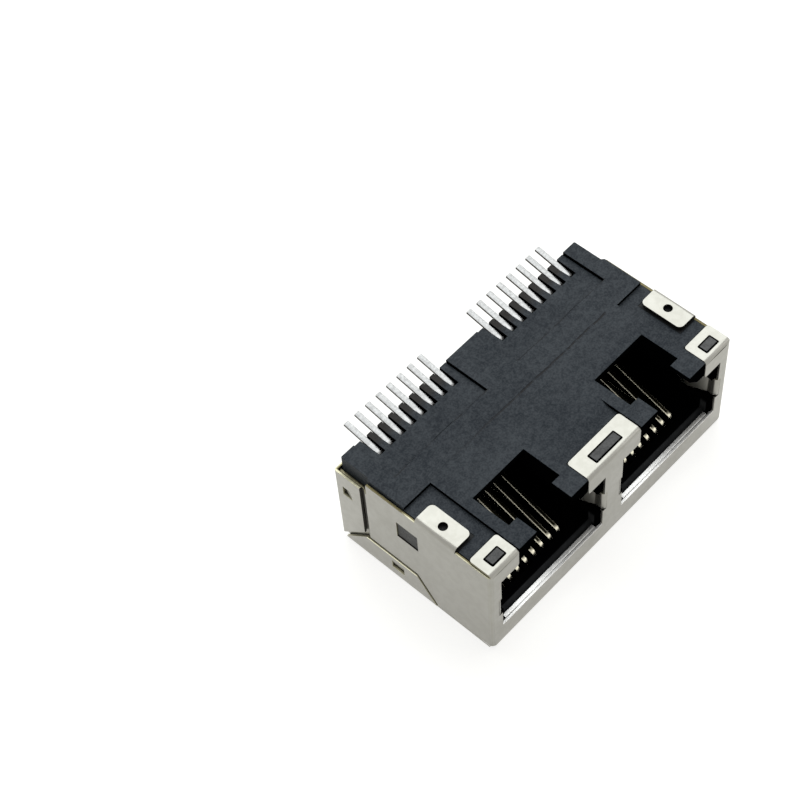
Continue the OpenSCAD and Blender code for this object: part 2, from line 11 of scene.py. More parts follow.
import bmesh
import bpy
import numpy as np
from bpy.props import (
    FloatProperty,
    FloatVectorProperty,
    IntProperty,
    PointerProperty,
)
from bpy.types import Operator, Panel, PropertyGroup
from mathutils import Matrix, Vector
from mathutils.bvhtree import BVHTree

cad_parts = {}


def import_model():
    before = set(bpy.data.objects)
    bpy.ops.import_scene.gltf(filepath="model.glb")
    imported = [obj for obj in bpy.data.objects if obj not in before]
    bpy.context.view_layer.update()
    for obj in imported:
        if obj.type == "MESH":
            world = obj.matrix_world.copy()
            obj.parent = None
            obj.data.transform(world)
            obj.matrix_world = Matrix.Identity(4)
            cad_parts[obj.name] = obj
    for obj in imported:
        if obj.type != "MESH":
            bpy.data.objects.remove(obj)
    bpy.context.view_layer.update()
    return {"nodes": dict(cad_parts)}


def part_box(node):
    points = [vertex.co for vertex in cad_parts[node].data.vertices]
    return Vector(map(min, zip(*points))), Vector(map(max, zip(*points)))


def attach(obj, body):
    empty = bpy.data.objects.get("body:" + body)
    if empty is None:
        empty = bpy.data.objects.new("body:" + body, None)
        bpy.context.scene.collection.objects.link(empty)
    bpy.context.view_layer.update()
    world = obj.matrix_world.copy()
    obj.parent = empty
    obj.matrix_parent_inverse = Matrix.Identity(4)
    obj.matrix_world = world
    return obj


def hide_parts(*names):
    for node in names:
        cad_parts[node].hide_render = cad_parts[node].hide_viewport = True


bl_info = {
    "name": "Shielded board jack",
    "version": (1, 0, 0),
    "blender": (4, 5, 0),
    "location": "View3D > Sidebar > Board jack",
    "description": "Sheet, mouldings, contact strips and studio of a board jack",
    "category": "Object",
}

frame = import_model()
MM = 0.001
PORTS = (1, 2)
CONTACTS = range(1, 9)
PORT_X = 7.55                  # middle of each port


# Sizes and colours that a user may change


class SheetSizes(PropertyGroup):
    """Sizes and colours of the shield's sheet"""

    rim: FloatProperty(
        name="Rim radius", description="Rounding of the sheet's cut rims",
        default=0.03 * MM, min=0.0, unit="LENGTH", precision=5)
    sheet: FloatProperty(
        name="Sheet thickness", description="Thickness that tells broad faces from cut ones",
        default=0.25 * MM, min=0.0, unit="LENGTH", precision=5)
    color: FloatVectorProperty(
        name="Plating", description="Colour of the plated sheet",
        default=(0.345, 0.338, 0.306), subtype="COLOR", min=0.0, max=1.0)
    stain: FloatVectorProperty(
        name="Stain", description="Colour of the faint stains on the plating",
        default=(0.303, 0.296, 0.263), subtype="COLOR", min=0.0, max=1.0)
    cut: FloatVectorProperty(
        name="Cut rim", description="Colour of the bare alloy along the cut rims",
        default=(0.46, 0.44, 0.32), subtype="COLOR", min=0.0, max=1.0)
    # Painted shade: the darker colour of the inner half of the upper cut rims and of some rims along the side
    # walls.
    rim_shade_color: FloatVectorProperty(
        name="Tarnish", description="Colour of the dull half of the cut rims",
        default=(0.11, 0.095, 0.05), subtype="COLOR", min=0.0, max=1.0)
    # Painted shade: the rims of the tabs, windows, slits and rear flaps are coloured near black, as they
    # mirror the dark plastic.
    shade: FloatVectorProperty(
        name="Shaded rim", description="Colour of the tabs' rims, which mirror the dark plastic",
        default=(0.02, 0.019, 0.016), subtype="COLOR", min=0.0, max=1.0)
    # Painted highlight: the lips' upward faces are coloured far paler than the plating, as they catch the
    # light.
    lip_highlight: FloatVectorProperty(
        name="Lip", description="Colour of the burnished lips under the ports",
        default=(0.78, 0.77, 0.745), subtype="COLOR", min=0.0, max=1.0)


class MouldingSizes(PropertyGroup):
    """Sizes and colours of the moulded parts"""

    edge: FloatProperty(
        name="Edge radius", description="Rounding of the moulded edges",
        default=0.03 * MM, min=0.0, unit="LENGTH", precision=5)
    # Painted shade: a border round each stud, coloured like the ports' insides, stands in for the shade
    # between stud and window.
    gap: FloatProperty(
        name="Gap", description="Width of the dark gap round each stud",
        default=0.09 * MM, min=0.0, unit="LENGTH", precision=5)
    color: FloatVectorProperty(
        name="Plastic", description="Colour of the moulded plastic",
        default=(0.0010, 0.0045, 0.0090), subtype="COLOR", min=0.0, max=1.0)
    mottle: FloatVectorProperty(
        name="Mottle", description="Paler colour that clouds the plastic",
        default=(0.029, 0.036, 0.043), subtype="COLOR", min=0.0, max=1.0)
    scuff: FloatVectorProperty(
        name="Scuffs", description="Colour of the fine rubbed marks",
        default=(0.048, 0.056, 0.062), subtype="COLOR", min=0.0, max=1.0)
    # Painted shade: the very dark colour of the plastic inside the ports and on steep walls. It also colours
    # the moulding's dark lines and the painted shadows round the tabs.
    inside: FloatVectorProperty(
        name="Inside", description="Colour of the untouched plastic inside the ports",
        default=(0.0014, 0.0015, 0.0018), subtype="COLOR", min=0.0, max=1.0)
    teeth: FloatVectorProperty(
        name="Teeth", description="Colour of the carriers' teeth between the leads",
        default=(0.008, 0.0062, 0.0045), subtype="COLOR", min=0.0, max=1.0)
    studs: FloatVectorProperty(
        name="Studs", description="Colour of the studs that fill the shield's windows",
        default=(0.100, 0.100, 0.098), subtype="COLOR", min=0.0, max=1.0)
    # The sill behind the lips keeps this paler grey, left out of the painted shade inside the ports.
    sill: FloatVectorProperty(
        name="Sill", description="Colour of the plastic right behind the lips",
        default=(0.050, 0.052, 0.054), subtype="COLOR", min=0.0, max=1.0)


class ContactSizes(PropertyGroup):
    """Sizes of the contact strips, as in the solids they stand for, and their colours"""

    pitch: FloatProperty(
        name="Contact pitch", description="Distance between neighbouring springs",
        default=1.02 * MM, unit="LENGTH", precision=5)
    width: FloatProperty(
        name="Spring width", description="Width of a spring",
        default=0.4 * MM, unit="LENGTH", precision=5)
    thickness: FloatProperty(
        name="Strip thickness", description="Thickness of the strip",
        default=0.25 * MM, unit="LENGTH", precision=5)
    lead_pitch: FloatProperty(
        name="Lead pitch", description="Distance between neighbouring solder leads",
        default=1.27 * MM, unit="LENGTH", precision=5)
    lead_width: FloatProperty(
        name="Lead width", description="Width of a solder lead",
        default=0.52 * MM, unit="LENGTH", precision=5)
    rise: FloatProperty(
        name="Spring rise", description="Slope of the springs",
        default=math.radians(20.2), subtype="ANGLE")
    slope: FloatProperty(
        name="Lead slope", description="Slope of the leads towards the board",
        default=math.radians(12.0), subtype="ANGLE")
    corner: FloatProperty(
        name="Corner radius", description="Rounding of the strip's long edges",
        default=0.04 * MM, unit="LENGTH", precision=5)
    # Painted reflection: the springs' broad faces are coloured near black, as they mirror the dark port. The
    # strips' sides take this colour as painted shade.
    gold: FloatVectorProperty(
        name="Gold", description="Colour of the plating on the springs, which mirrors the dark port",
        default=(0.018, 0.016, 0.009), subtype="COLOR", min=0.0, max=1.0)
    # Painted highlight: the colour of the springs' glinting edges and front turns.
    painted_glint: FloatVectorProperty(
        name="Polished gold", description="Colour of the springs' bright edges and front turns",
        default=(0.80, 0.76, 0.60), subtype="COLOR", min=0.0, max=1.0)
    tin: FloatVectorProperty(
        name="Tin", description="Colour of the plating on the leads",
        default=(0.33, 0.33, 0.325), subtype="COLOR", min=0.0, max=1.0)


class StudioSizes(PropertyGroup):
    """Camera, lamps and floor"""

    place: FloatVectorProperty(
        name="Camera place", description="Where the camera stands",
        default=(-0.0701937, -0.0606126, 0.1448026), subtype="TRANSLATION", unit="LENGTH")
    turn: FloatVectorProperty(
        name="Camera turn", description="How the camera is turned",
        default=tuple(math.radians(a) for a in (34.73487, 3.15350, -47.22638)), subtype="EULER")
    lens: FloatProperty(
        name="Lens", description="Focal length of the camera on a 36 mm sensor",
        default=88.5519, min=1.0, unit="CAMERA")
    overhead: FloatProperty(
        name="Overhead lamp", description="Power of the large lamp above and behind",
        default=3.4, min=0.0, unit="POWER")
    side: FloatProperty(
        name="Side lamp", description="Power of the small lamp in front on the right",
        default=0.4, min=0.0, unit="POWER")
    floor: FloatProperty(
        name="Floor size", description="Half the width of the floor",
        default=1.5, min=0.1, unit="LENGTH")
    glow: FloatProperty(
        name="Ground white", description="How much plain white the ground shows over its shading",
        default=0.75, min=0.0, max=1.0, subtype="FACTOR")
    rings: IntProperty(
        name="Floor rings", description="Steps across the floor's grid",
        default=12, min=2)


# Contact strips


FRONT_R = 0.55                 # middle line's radius round the front
REAR_R = 0.5                   # up into the carrier
LEAD_R = 0.6                   # and out of it
SPRING_RUN = 8.8               # length of a spring along Y
RISER_TO_TOE = 4.02            # from the riser to the lead's toe along Y
FAN_Z = (3.5, 8.5)             # the strips go from the contact pitch to the lead pitch here
SHARP = math.radians(40.0)     # a strip's edges sharper than this stay sharp


def mesh_piece(name, points, faces, material, across):
    """Piece from whole arrays of points and faces, turned so that its volume is positive.

    `across` becomes the point attribute of that name.
    """
    points = np.asarray(points, float)
    a, b, c = (points[faces[:, i]] for i in (0, 1, 2))
    d = points[faces[:, -1]]
    volume = np.einsum("ij,ij->", a, np.cross(b, c)) + np.einsum("ij,ij->", a, np.cross(c, d))
    if volume < 0:
        faces = faces[:, ::-1]
    mesh = bpy.data.meshes.new(name)
    mesh.from_pydata(points, [], faces)
    mesh.materials.append(material)
    mesh.attributes.new("across", "FLOAT", "POINT").data.foreach_set("value", across)
    mesh.shade_smooth()
    mesh.set_sharp_from_angle(angle=SHARP)
    piece = bpy.data.objects.new(name, mesh)
    bpy.context.scene.collection.objects.link(piece)
    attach(piece, "root")
    return piece


def arc(middle, r, start, end, steps):
    """Points middle + r (cos a, sin a), with a running evenly from start to end in degrees."""
    a = np.radians(np.linspace(start, end, steps + 1))
    return np.asarray(middle) + r * np.stack([np.cos(a), np.sin(a)], 1)


def swept_strip(path, across, half_w, half_t, corner, steps=3):
    """Strip with a rounded rectangular section, carried along a path and closed at both ends.

    At point i of the path the section is the curve
    c(a) = (sx (w - r) + r cos a, sy (t - r) + r sin a), where w and t are the half width and half
    thickness, r the corner radius and (sx, sy) the corner's signs. A corner has `steps` steps.
    Its first axis is `across`, and its second is square to that and to the path.
    Both ends close with a smaller ring a little way in front of the last one, then a fan to its middle.
    The third array gives each point's place over the width, from -1 to 1.
    """
    along = np.gradient(path, axis=0)
    along /= np.linalg.norm(along, axis=1, keepdims=True)
    ease = 0.6 * corner
    path = np.concatenate([path[:1], path, path[-1:]])
    path[1] += along[0] * ease
    path[-2] -= along[-1] * ease
    along = np.concatenate([along[:1], along, along[-1:]])
    shrink = np.zeros(len(path))
    shrink[[0, -1]] = ease
    half_w = np.concatenate([half_w[:1], half_w, half_w[-1:]]) - shrink
    half_t = np.concatenate([half_t[:1], half_t, half_t[-1:]]) - shrink
    up = np.cross(along, across)
    up /= np.linalg.norm(up, axis=1, keepdims=True)
    a = np.radians(np.concatenate([np.linspace(q, q + 90.0, steps + 1) for q in (0, 90, 180, 270)]))
    sx = np.repeat([1.0, -1.0, -1.0, 1.0], steps + 1)
    sy = np.repeat([1.0, 1.0, -1.0, -1.0], steps + 1)
    u = sx * (half_w[:, None] - corner) + corner * np.cos(a)
    v = sy * (half_t[:, None] - corner) + corner * np.sin(a)
    rings = path[:, None] + u[..., None] * across + v[..., None] * up[:, None]
    n, m = rings.shape[:2]
    i, j = np.meshgrid(np.arange(n - 1), np.arange(m), indexing="ij")
    k = (j + 1) % m
    walls = np.stack([i * m + j, i * m + k, (i + 1) * m + k, (i + 1) * m + j], -1).reshape(-1, 4)
    ends = [rings[0].mean(0, keepdims=True), rings[-1].mean(0, keepdims=True)]
    points = np.concatenate([rings.reshape(-1, 3), *ends])
    j = np.arange(0, m, 2)
    first = np.stack([np.full(len(j), n * m), (j + 2) % m, j + 1, j], 1)
    last = np.stack([np.full(len(j), n * m + 1), j, j + 1, (j + 2) % m], 1) + [0, *[(n - 1) * m] * 3]
    over = np.append((u / half_w[:, None]).ravel(), [0.0, 0.0])
    return points, np.concatenate([walls, first, last]), over


def contact_path(sizes, port, k):
    """Middle line of one contact, and its half width and half thickness at each point.

    Seen from the side it is a straight spring, an arc round the front, a straight leg, an arc up into
    the carrier, a riser, an arc and a straight lead. Its place across the port goes from the contact
    pitch to the lead pitch along the riser, and its width changes with it.
    """
    mm = 1 / MM
    low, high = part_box("contact_%d_%d" % (port, k))
    rise, slope, half = sizes.rise, sizes.slope, sizes.thickness * mm / 2
    leg = low.z * mm + half
    turn = np.array([low.y * mm + half + FRONT_R, leg + FRONT_R])
    start = turn + FRONT_R * np.array([-math.sin(rise), math.cos(rise)])
    free_end = start + [SPRING_RUN, SPRING_RUN * math.tan(rise)]
    riser = high.y * mm - RISER_TO_TOE
    toe = np.array([high.y * mm - half * math.sin(slope), high.z * mm - half * math.cos(slope)])
    lead_run = toe[0] - (riser + LEAD_R - LEAD_R * math.sin(slope))
    bend = np.array([riser + LEAD_R, toe[1] - lead_run * math.tan(slope) - LEAD_R * math.cos(slope)])
    riser_z = np.linspace(leg + REAR_R, bend[1], 12)[1:-1]
    side = np.concatenate([
        np.linspace(free_end, start, 7)[:-1],
        arc(turn, FRONT_R, 90 + math.degrees(rise), 270, 16),
        arc([riser - REAR_R, leg + REAR_R], REAR_R, 270, 360, 7),
        np.stack([np.full(len(riser_z), riser), riser_z], 1),
        arc(bend, LEAD_R, 180, 90 + math.degrees(slope), 9),
        [toe + 0.5 * (bend + [0.0, LEAD_R] - toe), toe]])
    fanned = np.clip((side[:, 1] - FAN_Z[0]) / (FAN_Z[1] - FAN_Z[0]), 0.0, 1.0)
    shift = fanned * (side[:, 0] > riser - 0.01)
    step = k - np.mean(CONTACTS)
    middle = (-1 if port == 1 else 1) * PORT_X
    x = middle + step * (sizes.pitch + (sizes.lead_pitch - sizes.pitch) * shift) * mm
    path = np.stack([x, side[:, 0], side[:, 1]], 1) * MM
    half_w = (sizes.width + (sizes.lead_width - sizes.width) * shift) / 2
    return path, half_w, np.full(len(path), sizes.thickness / 2)


# Sheet and mouldings


WELD_GRID = 1e-7                        # metres; corners that round to the same place are one
FLAT = math.radians(0.5)                # faces that meet flatter than this are joined
BEVELLED = math.radians(30)             # edges sharper than this are rounded
STUD_SHIFT = Vector((0.6, 0.45, 0.0))   # of the stud tops within their painted shade borders, in border widths
REACH = 1.5                             # points further off the solid are put back, in bevel widths
FOLDED = -0.2                           # dot product of a folded face's normal with the solid's
MENDS = 4                               # rounds of closing folded faces


def welded(name, source):
    """Mesh of a solid's triangles with their corners welded, without the triangles that this closes."""
    source.calc_loop_triangles()
    co = np.empty(len(source.vertices) * 3)
    source.vertices.foreach_get("co", co)
    co = co.reshape(-1, 3)
    corners = np.empty(len(source.loop_triangles) * 3, np.int64)
    source.loop_triangles.foreach_get("vertices", corners)
    grid = np.round(co / WELD_GRID).astype(np.int64)
    _, first, same = np.unique(grid, axis=0, return_index=True, return_inverse=True)
    corners = same.reshape(-1)[corners].reshape(-1, 3)
    whole = (corners != np.roll(corners, 1, 1)).all(1)
    mesh = bpy.data.meshes.new(name)
    mesh.from_pydata(co[first], [], corners[whole])
    return mesh


def bordered(shape, gap, number):
    """Gives the faces numbered 1 a border of painted shade, of another number and `gap` wide, and shifts
    those on top.
    """
    studs = [face for face in shape.faces if face.material_index == 1]
    # The border carries painted shade.
    border = bmesh.ops.inset_region(shape, faces=studs, thickness=gap, use_even_offset=True)
    for face in border["faces"]:
        face.material_index = number
    for point in {point for face in studs if face.normal.z > 0.9 for point in face.verts}:
        point.co += STUD_SHIFT * gap


def keep_modified(piece):
    """Makes a piece's modified mesh its own, and clears the modifiers."""
    modified = piece.evaluated_get(bpy.context.evaluated_depsgraph_get())
    piece.data = bpy.data.meshes.new_from_object(modified)
    piece.modifiers.clear()


def unfold(mesh, solid, reach):
    """Puts points further than `reach` from the solid back onto it, and closes faces that face into it."""
    shape = bmesh.new()
    shape.from_mesh(mesh)
    for point in shape.verts:
        near, _, _, off = solid.find_nearest(point.co)
        if off > reach:
            point.co = near
    for _ in range(MENDS):
        shape.normal_update()
        folded = [
            face for face in shape.faces
            if face.normal.dot(solid.find_nearest(face.calc_center_median())[1]) < FOLDED]
        shortest = {min(face.edges, key=bmesh.types.BMEdge.calc_length) for face in folded}
        bmesh.ops.collapse(shape, edges=list(shortest))
    shape.to_mesh(mesh)
    shape.free()


def softened(node, name, width, materials, chosen, gap=0.0):
    """Copy of a solid with its corners welded and its sharp edges rounded.

    Flat neighbours are joined, then a bevel rounds each sharp edge by `width`. Where edges run together
    it throws a few points off and folds a few faces over, which unfold() mends.
    chosen(shape, solid) gives each face the number of its material. With a `gap`, the faces numbered 1
    get a border of the last material, which paints shade round them.
    """
    mesh = welded(name, frame["nodes"][node].data)
    shape = bmesh.new()
    shape.from_mesh(mesh)
    solid = BVHTree.FromBMesh(shape)
    bmesh.ops.dissolve_limit(shape, angle_limit=FLAT, verts=shape.verts, edges=shape.edges)
    shape.faces.index_update()
    for face, number in zip(shape.faces, chosen(shape, solid)):
        face.material_index = int(number)
    if gap:
        bordered(shape, gap, len(materials) - 1)
    shape.to_mesh(mesh)
    shape.free()
    for material in materials:
        mesh.materials.append(material)
    mesh.shade_smooth()
    piece = bpy.data.objects.new(name, mesh)
    bpy.context.scene.collection.objects.link(piece)
    bevel = piece.modifiers.new("rounded edges", "BEVEL")
    bevel.width = width
    bevel.segments = 2
    bevel.limit_method = "ANGLE"
    bevel.angle_limit = BEVELLED
    bevel.use_clamp_overlap = False
    bevel.miter_outer = "MITER_ARC"
    keep_modified(piece)
    unfold(piece.data, solid, REACH * width)
    weighted = piece.modifiers.new("flat faces first", "WEIGHTED_NORMAL")
    weighted.mode = "FACE_AREA"
    keep_modified(piece)
    piece.data.name = name
    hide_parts(node)
    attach(piece, "root")
    return piece


def middles(shape):
    """Middle in millimetres and normal of each face, each as its three coordinates."""
    middle = np.array([face.calc_center_median() for face in shape.faces]) / MM
    return middle.T, np.array([face.normal for face in shape.faces]).T


def inside(values, low, high):
    """Where the values lie between two others."""
    return (values > low) & (values < high)


SIDE_WALL_X = 14.9             # the side walls lie outside it
FRONT_PLATE_Y = -8.8           # the front plate lies in front of it
LOW_RIM_Z = 0.5                # the top plate's rims lie under it
TAB_Z = 11.6                   # the tabs lie over it
SLIT_Z = (3.5, 9.0)            # rims of the slits beside the earthing fingers
WINDOW_Z = (5.0, 11.0)         # rims of the windows in the side walls
FLAP_Y = (4.2, 5.3)            # front rims of the rear flaps
FLAP_Z = 2.0                   # which lie over this


def cut_faces(thickness):
    """Chooser for a sheet: 1 for its cut rims, 2 for painted shade on those beside the dark plastic, 0 for
    its broad faces.

    A triangle is broad where a ray straight into the sheet leaves it after its thickness, and a face
    goes with the larger area of its triangles. The rims of the front plate and of the underside are
    plated over, and those of the tabs, windows, slits and rear flaps get painted shade.
    """
    def chosen(shape, solid):
        triangles = shape.calc_loop_triangles()
        points = np.array([[loop.vert.co for loop in triangle] for triangle in triangles])
        across = np.cross(points[:, 1] - points[:, 0], points[:, 2] - points[:, 0])
        area = np.linalg.norm(across, axis=1)
        inward = -across / np.maximum(area, 1e-30)[:, None]
        starts = points.mean(1) + 1e-6 * inward
        depth = np.array([solid.ray_cast(start, way)[3] or 1.0 for start, way in zip(starts, inward)])
        votes = np.where(np.abs(depth - thickness) < 0.2 * thickness, -area, area)
        face = [triangle[0].face.index for triangle in triangles]
        cut = np.bincount(face, votes, len(shape.faces)) > 0
        (x, y, z), (_, ahead, up) = middles(shape)
        beside = np.abs(x) > SIDE_WALL_X
        plated = (up < -0.5) | (z < LOW_RIM_Z) | ((y < FRONT_PLATE_Y) & ~beside)
        slits = (y < FRONT_PLATE_Y) & (np.abs(up) > 0.9) & inside(z, *SLIT_Z)
        tabs = (z > TAB_Z) & (np.abs(up) < 0.3) & ~beside
        windows = beside & inside(z, *WINDOW_Z) & (y < 0.0)
        fronts = beside & (ahead < -0.9) & inside(y, *FLAP_Y) & (z > FLAP_Z)
        # Rims numbered 2 get painted shade.
        return cut * np.where(tabs | windows | slits | fronts, 2, np.where(plated, 0, 1))
    return chosen


SIDE_STUD_X = 15.0             # the studs in the side walls lie outside it
TOP_STUD_Z = (11.7, 11.85)     # tops of the studs in the tabs
TOP_STUD_Y = -7.6              # which lie in front of this
INNER_X = 14.5                 # steep faces inside it get painted shade
INNER_Y = 7.25                 # if they lie in front of this
SUNK_Z = 11.2                  # as do all faces under this


def moulded_faces(shape, solid):
    """Chooser for a moulding: 1 for the studs in the windows, 2 for steep and inner faces, which get painted
    shade, 0 for the rest.
    """
    (x, y, z), (_, _, up) = middles(shape)
    out = np.abs(x)
    studs = (out > SIDE_STUD_X) | (inside(z, *TOP_STUD_Z) & (y < TOP_STUD_Y))
    # Steep and inner faces get painted shade.
    inner = (out < INNER_X) & (y < INNER_Y) & ((np.abs(up) < 0.4) | (z < SUNK_Z))
    return np.where(studs, 1, np.where(inner, 2, 0))


# Shader nodes


def feed(tree, value, socket):
    """Links a socket to another, or gives it a plain value."""
    if isinstance(value, bpy.types.NodeSocket):
        tree.links.new(value, socket)
    else:
        socket.default_value = value


def add(tree, kind, **values):
    """New shader node. A value sets the attribute or the input of its name, and a socket is linked."""
    made = tree.nodes.new("ShaderNode" + kind)
    for name, value in values.items():
        if hasattr(made, name) and not name[0].isupper():
            setattr(made, name, value)
        else:
            feed(tree, value, made.inputs[name.replace("_", " ")])
    return made


def axes(tree, vector):
    """The three coordinates of a vector."""
    return add(tree, "SeparateXYZ", Vector=vector).outputs


def maths(tree, operation, a, b=0.0):
    """One arithmetic step."""
    made = add(tree, "Math", operation=operation)
    feed(tree, a, made.inputs[0])
    feed(tree, b, made.inputs[1])
    return made.outputs["Value"]


def product(tree, *masks):
    """Masks multiplied together."""
    return reduce(lambda a, b: maths(tree, "MULTIPLY", a, b), masks)


def largest(tree, *masks):
    """The largest of some masks."""
    return reduce(lambda a, b: maths(tree, "MAXIMUM", a, b), masks)


def spread(tree, value, low, high, to_low=0.0, to_high=1.0):
    """Value spread from one range to another, held at its ends."""
    made = add(tree, "MapRange", Value=value, From_Min=low, From_Max=high, To_Min=to_low, To_Max=to_high)
    return made.outputs["Result"]


def past(tree, value, band, to_low=0.0, to_high=1.0):
    """Mask that goes from 0 to 1, or between two other values, where a coordinate passes a band."""
    return spread(tree, value, band[0] * MM, band[1] * MM, to_low, to_high)


def before(tree, value, band, most=1.0):
    """Mask that goes from 1, or another value, to 0 where a coordinate passes a band."""
    return past(tree, value, band, most, 0.0)


def times(color, by):
    """Colour multiplied by a number."""
    return tuple(by * c for c in color)


def ramp(tree, factor, low, high):
    """Colour ramp from one colour at 0 to another at 1."""
    made = add(tree, "ValToRGB", Fac=factor)
    for band, color in zip(made.color_ramp.elements, (low, high)):
        band.color = (*color, 1.0)
    return made.outputs["Color"]


def blend(tree, share, low, high):
    """Colour between two, each of which is a socket or a plain colour."""
    made = add(tree, "Mix", data_type="RGBA")
    feed(tree, share, made.inputs[0])
    for number, color in ((6, low), (7, high)):
        feed(tree, color if isinstance(color, bpy.types.NodeSocket) else (*color, 1.0), made.inputs[number])
    return made.outputs[2]


def group(name, inputs, output):
    """Empty node group with its sockets: the ones given to it, and the one it fills."""
    tree = bpy.data.node_groups.new(name, "ShaderNodeTree")
    for label, kind, default in inputs:
        socket = tree.interface.new_socket(name=label, in_out="INPUT", socket_type="NodeSocket" + kind)
        if default is not None:
            socket.default_value = default
    tree.interface.new_socket(name=output, in_out="OUTPUT", socket_type="NodeSocketFloat")
    given = tree.nodes.new("NodeGroupInput")
    made = tree.nodes.new("NodeGroupOutput")
    return tree, given.outputs, made.inputs[output]


def cloud_group():
    """Soft clouds: noise of a given size, cut to its middle range, from 0 to 1."""
    tree, given, made = group(
        "soft_clouds",
        [("Vector", "Vector", None), ("Size", "Float", 4.0 * MM), ("Softness", "Float", 0.2)], "Cloud")
    scale = maths(tree, "DIVIDE", 1.0, given["Size"])
    noise = add(tree, "TexNoise", Vector=given["Vector"], Scale=scale, Detail=4.0, Roughness=0.55)
    low = maths(tree, "SUBTRACT", 0.5, given["Softness"])
    high = maths(tree, "ADD", 0.5, given["Softness"])
    tree.links.new(spread(tree, noise.outputs["Fac"], low, high), made)
    return tree


def scuff_group():
    """Rubbed marks: thin curved lines where a warped noise crosses its middle, broken by a coarser one."""
    tree, given, made = group(
        "rubbed_marks",
        [("Vector", "Vector", None), ("Size", "Float", 1.2 * MM), ("Width", "Float", 0.012),
         ("Share", "Float", 0.5)], "Marks")
    scale = maths(tree, "DIVIDE", 1.0, given["Size"])
    noise = add(
        tree, "TexNoise", Vector=given["Vector"], Scale=scale, Detail=2.0, Roughness=0.5, Distortion=1.2)
    off = maths(tree, "ABSOLUTE", maths(tree, "SUBTRACT", noise.outputs["Fac"], 0.5))
    line = spread(tree, off, 0.0, given["Width"], 1.0, 0.0)
    breaks = add(
        tree, "TexNoise", Vector=given["Vector"], Scale=maths(tree, "MULTIPLY", scale, 1.7), Detail=1.0)
    full = maths(tree, "ADD", given["Share"], 0.12)
    kept = spread(tree, breaks.outputs["Fac"], given["Share"], full)
    tree.links.new(product(tree, line, kept), made)
    return tree


def grain_group():
    """Fine grain: the height of a close noise with one four times coarser added."""
    tree, given, made = group(
        "fine_grain", [("Vector", "Vector", None), ("Size", "Float", 0.1 * MM)], "Height")
    scale = maths(tree, "DIVIDE", 1.0, given["Size"])
    close = add(tree, "TexNoise", Vector=given["Vector"], Scale=scale, Detail=2.0)
    coarse = add(
        tree, "TexNoise", Vector=given["Vector"], Scale=maths(tree, "MULTIPLY", scale, 0.25), Detail=1.0)
    tree.links.new(maths(tree, "ADD", close.outputs["Fac"], coarse.outputs["Fac"]), made)
    return tree


def line_group():
    """Fine line: 1 where a coordinate is at a place, gone at 0.6 of the width, broken by noise."""
    tree, given, made = group(
        "fine_line",
        [("Vector", "Vector", None), ("Coordinate", "Float", 0.0), ("Place", "Float", 0.0),
         ("Width", "Float", 0.1 * MM)], "Line")
    waver = add(tree, "TexNoise", Vector=given["Vector"], Scale=450.0, Detail=1.0)
    sway = maths(tree, "MULTIPLY", maths(tree, "SUBTRACT", waver.outputs["Fac"], 0.5), 0.35 * MM)
    off = maths(tree, "SUBTRACT", maths(tree, "ADD", given["Coordinate"], sway), given["Place"])
    far = maths(tree, "DIVIDE", maths(tree, "ABSOLUTE", off), given["Width"])
    line = spread(tree, far, 0.2, 0.6, 1.0, 0.0)
    breaks = add(tree, "TexNoise", Vector=given["Vector"], Scale=1400.0, Detail=1.0)
    kept = spread(tree, breaks.outputs["Fac"], 0.32, 0.5, 0.25, 1.0)
    tree.links.new(product(tree, line, kept), made)
    return tree


SOLDER_TAB_X = 13.1            # the solder tabs lie outside it
SOLDER_TAB_Y = (-5.55, -1.25)  # and between these
FRONT_TAB_Y = -6.9             # the front tabs lie in front of it
OUTER_TAB_X = 11.825           # the outer ones outside this
CENTRE_TAB_X = 3.275           # and the middle one inside this
TAB_FLOOR_Z = (11.62, 11.7)    # the sunk floors under the tabs lie below it


def shadow_group():
    """Dark ground round the tabs: 1 within the reach of their outlines on the sunk floors, 0 elsewhere."""
    tree, given, made = group(
        "tab_shadow", [("Vector", "Vector", None), ("Reach", "Float", 0.1 * MM)], "Shadow")
    x, y, z = axes(tree, given["Vector"])
    out = maths(tree, "ABSOLUTE", x)

    def over(a, b):
        beyond = maths(tree, "ADD", maths(tree, "SUBTRACT", a, b), given["Reach"])
        return spread(tree, beyond, 0.0, 0.04 * MM)

    low, high = times(SOLDER_TAB_Y, MM)
    solder = product(tree, over(out, SOLDER_TAB_X * MM), over(y, low), over(high, y))
    front = largest(tree, over(out, OUTER_TAB_X * MM), over(CENTRE_TAB_X * MM, out))
    front = product(tree, front, over(FRONT_TAB_Y * MM, y))
    both = largest(tree, solder, front)
    tree.links.new(product(tree, both, before(tree, z, TAB_FLOOR_Z)), made)
    return tree


EFFECTS = {
    "tab_shadow": shadow_group,
    "soft_clouds": cloud_group,
    "rubbed_marks": scuff_group,
    "fine_grain": grain_group,
    "fine_line": line_group,
}


def effect(tree, name, **values):
    """An effect group placed in a material with its own values."""
    made = add(tree, "Group", node_tree=bpy.data.node_groups.get(name) or EFFECTS[name]())
    for label, value in values.items():
        feed(tree, value, made.inputs[label])
    return made.outputs[0]


def new_material(name):
    """Empty node material: its tree, shader and Object coordinates."""
    material = bpy.data.materials.new(name)
    material.use_nodes = True
    tree = material.node_tree
    shader = tree.nodes["Principled BSDF"]
    return material, tree, shader, add(tree, "TexCoord").outputs["Object"]


def bump(tree, shader, height, distance):
    """Feeds a height into the shader's normal."""
    made = add(tree, "Bump", Height=height, Distance=distance)
    tree.links.new(made.outputs["Normal"], shader.inputs["Normal"])


# Materials of the shield


